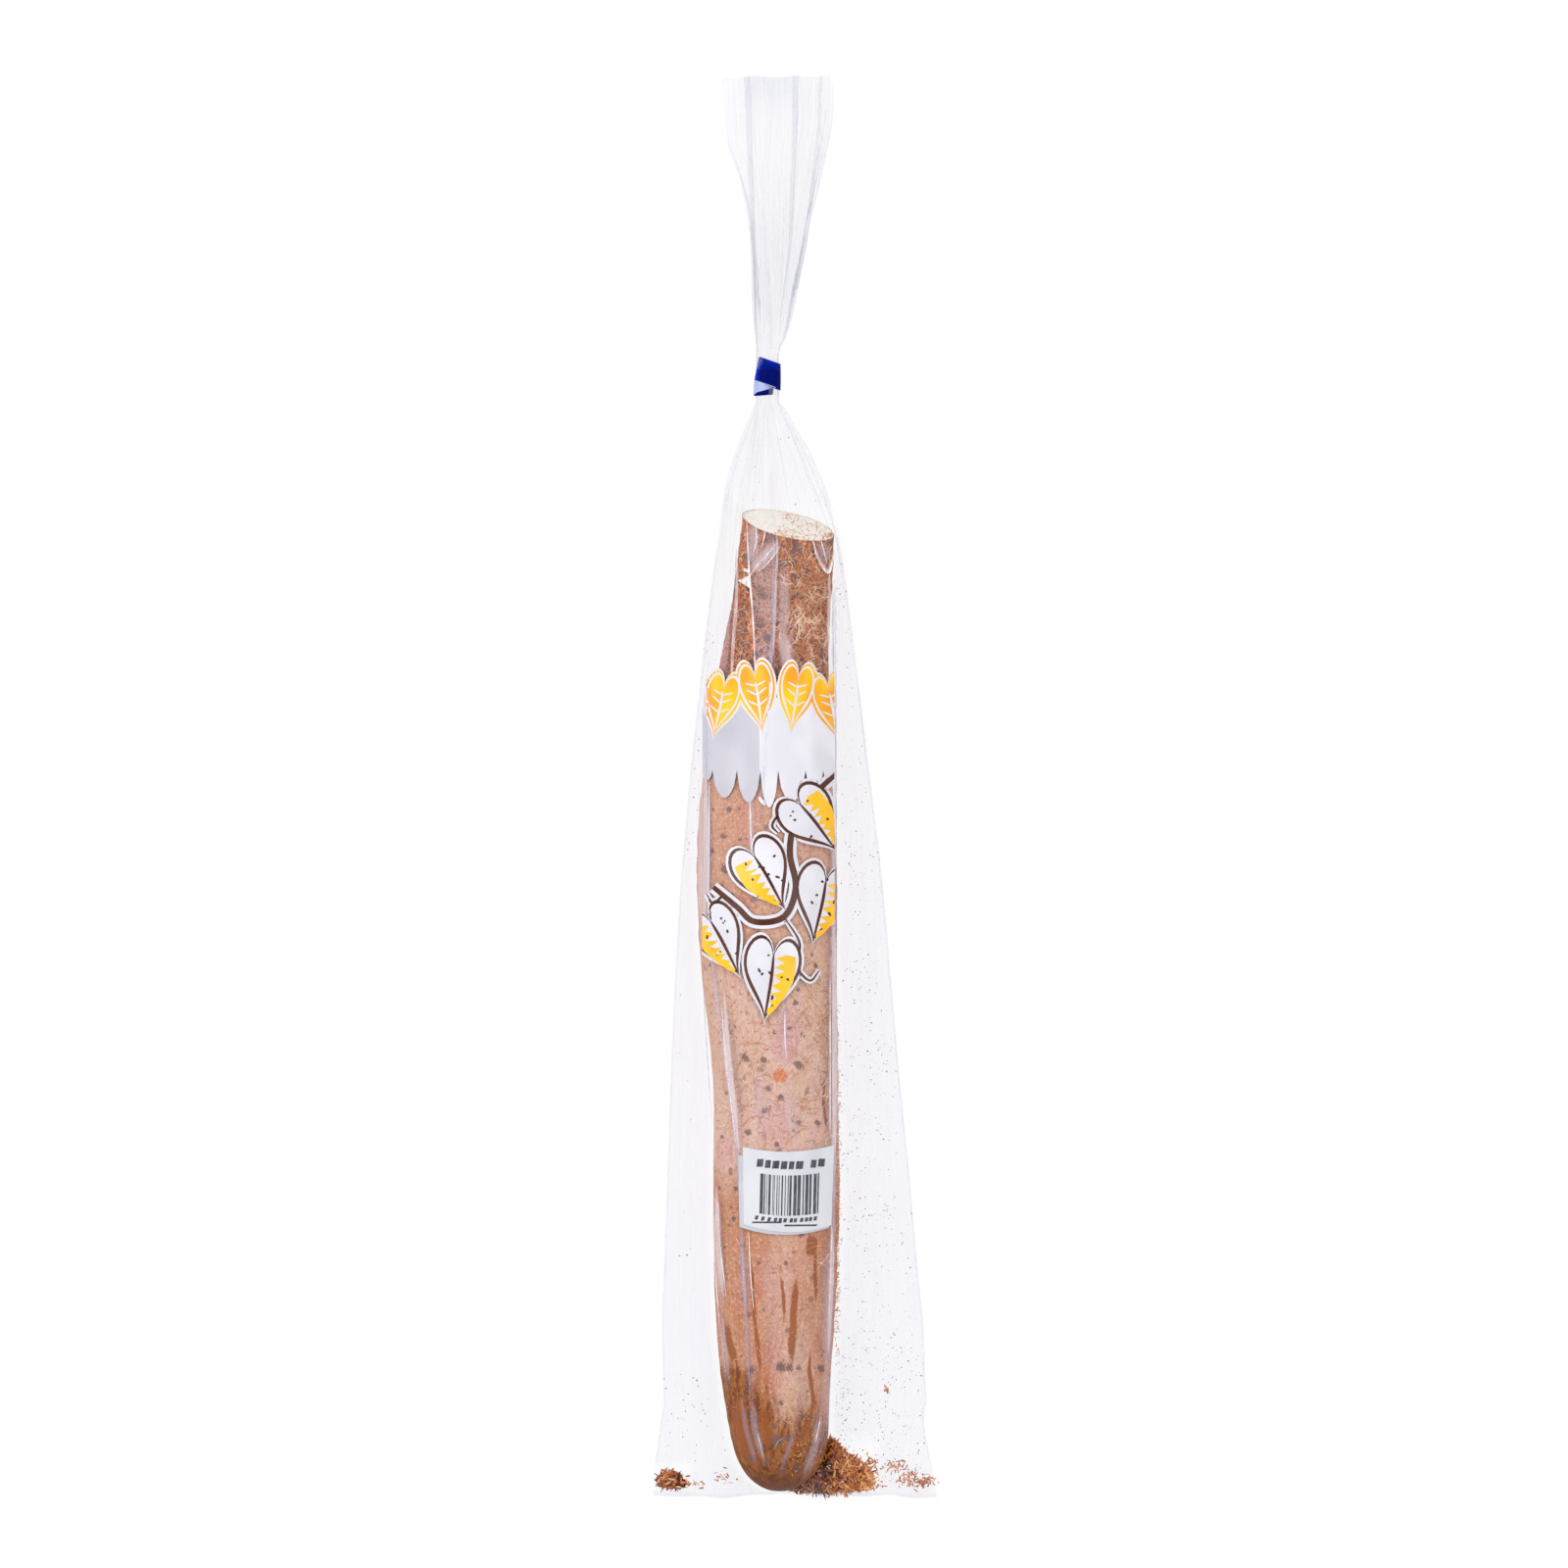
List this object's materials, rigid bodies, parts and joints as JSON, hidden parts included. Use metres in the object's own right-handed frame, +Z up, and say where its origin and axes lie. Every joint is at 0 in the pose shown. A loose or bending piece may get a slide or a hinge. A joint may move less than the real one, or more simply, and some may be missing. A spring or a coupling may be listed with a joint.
{
  "type": "japanese mountain yam",
  "caption": "Japanese mountain yam lying in a long clear film bag that is gathered and taped at its cut end, with paper stickers on the film and sawdust in the sealed end",
  "frame": {"origin": "middle of the bounding box's underside, on the surface that the bag lies on", "axes": "+Y along the tuber from its rounded tip to its cut end and the tied neck, +X across it, +Z up"},
  "size_m": [0.12, 0.605, 0.0576],
  "materials": {
    "yam_skin": "rough bark-like tuber skin, cream at the cut",
    "clear_film": "clear glossy film",
    "blue_tape": "glossy",
    "sticker_paper": "smooth white paper",
    "sawdust": "loose matt shavings"
  },
  "bodies": {
    "root": {"yam": "yam_skin", "bag": "clear_film", "neck_tape": "blue_tape", "sticker_upper": "sticker_paper", "sticker_lower": "sticker_paper", "sawdust_by_tip": "sawdust", "sawdust_left": "sawdust", "sawdust_corner": "sawdust"}
  },
  "joints": []
}
